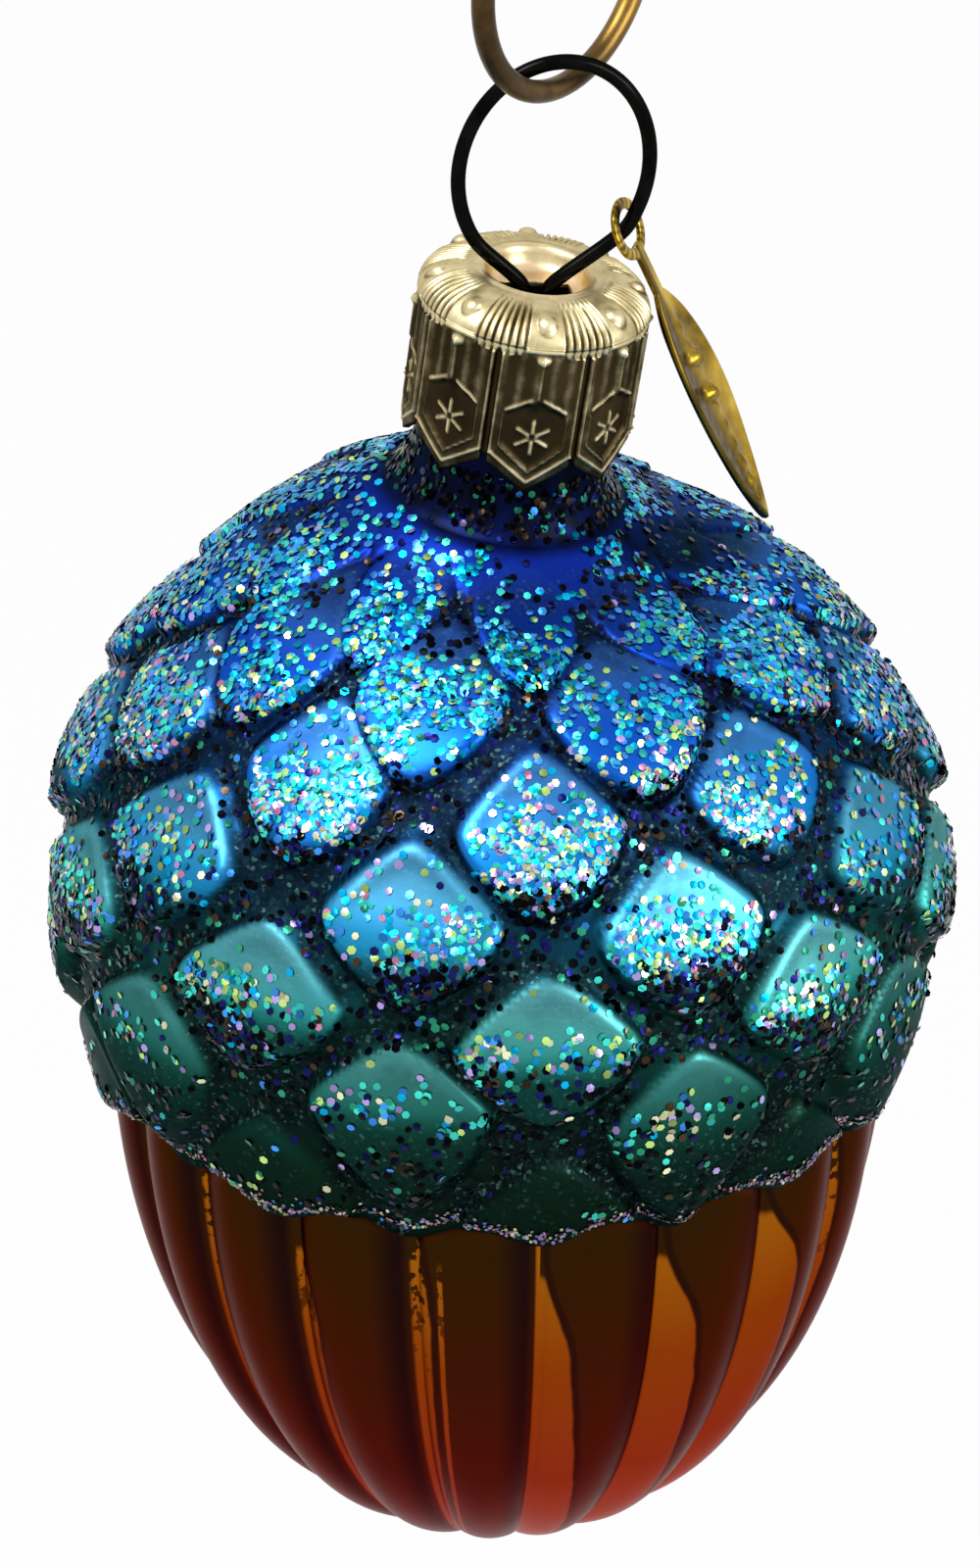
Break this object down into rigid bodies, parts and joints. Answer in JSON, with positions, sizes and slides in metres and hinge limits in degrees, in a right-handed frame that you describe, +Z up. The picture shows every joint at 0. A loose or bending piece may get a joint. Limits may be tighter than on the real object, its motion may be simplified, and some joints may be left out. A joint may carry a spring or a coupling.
{
  "type": "acorn ornament",
  "caption": "Acorn-shaped blown glass tree ornament with a scaled cup, fluted nut, crown cap, wire loop, leaf tag and S-hook.",
  "frame": {"origin": "inside of the S-hook's top bend, where it rests on a branch", "axes": "+Z up along the plumb line, -Y towards the front, +X to the front view's right; the wire loop lies close to the XZ plane"},
  "size_m": [0.0462, 0.0467, 0.1097],
  "materials": {
    "hook_wire": "antique bronze, satin",
    "loop_wire": "gloss black oxide",
    "cap_metal": "antiqued pale gold over tinplate",
    "lacquered_glass": "blue to green lacquer on the cup, brown to crimson on the nut, glitter on the scales",
    "tag_metal": "polished"
  },
  "bodies": {
    "hook": {"s_hook": "hook_wire"},
    "loop": {"wire_loop": "loop_wire"},
    "cap": {"crown_cap": "cap_metal"},
    "glass": {"glass_acorn": "lacquered_glass"},
    "tag": {"hanging_tag": "tag_metal"}
  },
  "joints": [
    {"name": "loop_swing", "type": "hinge", "parent": "hook", "child": "loop", "pos_m": [0, 0, -0.02757], "axis": [0.7547, 0.6561, 0], "range_deg": [-20, 20]},
    {"name": "cap_rock", "type": "hinge", "parent": "loop", "child": "cap", "pos_m": [-0.00021, 0.00063, -0.03803], "axis": [0.998, 0.0011, -0.063], "range_deg": [-8, 8]},
    {"name": "glass_pull", "type": "slide", "parent": "cap", "child": "glass", "axis": [0.063, -0.0555, 0.9965], "range_m": [-0.014, 0]},
    {"name": "tag_swing", "type": "hinge", "parent": "loop", "child": "tag", "pos_m": [0.00391, 0.00043, -0.03466], "axis": [0.4895, -0.0495, 0.8706], "range_deg": [-20, 20]}
  ]
}
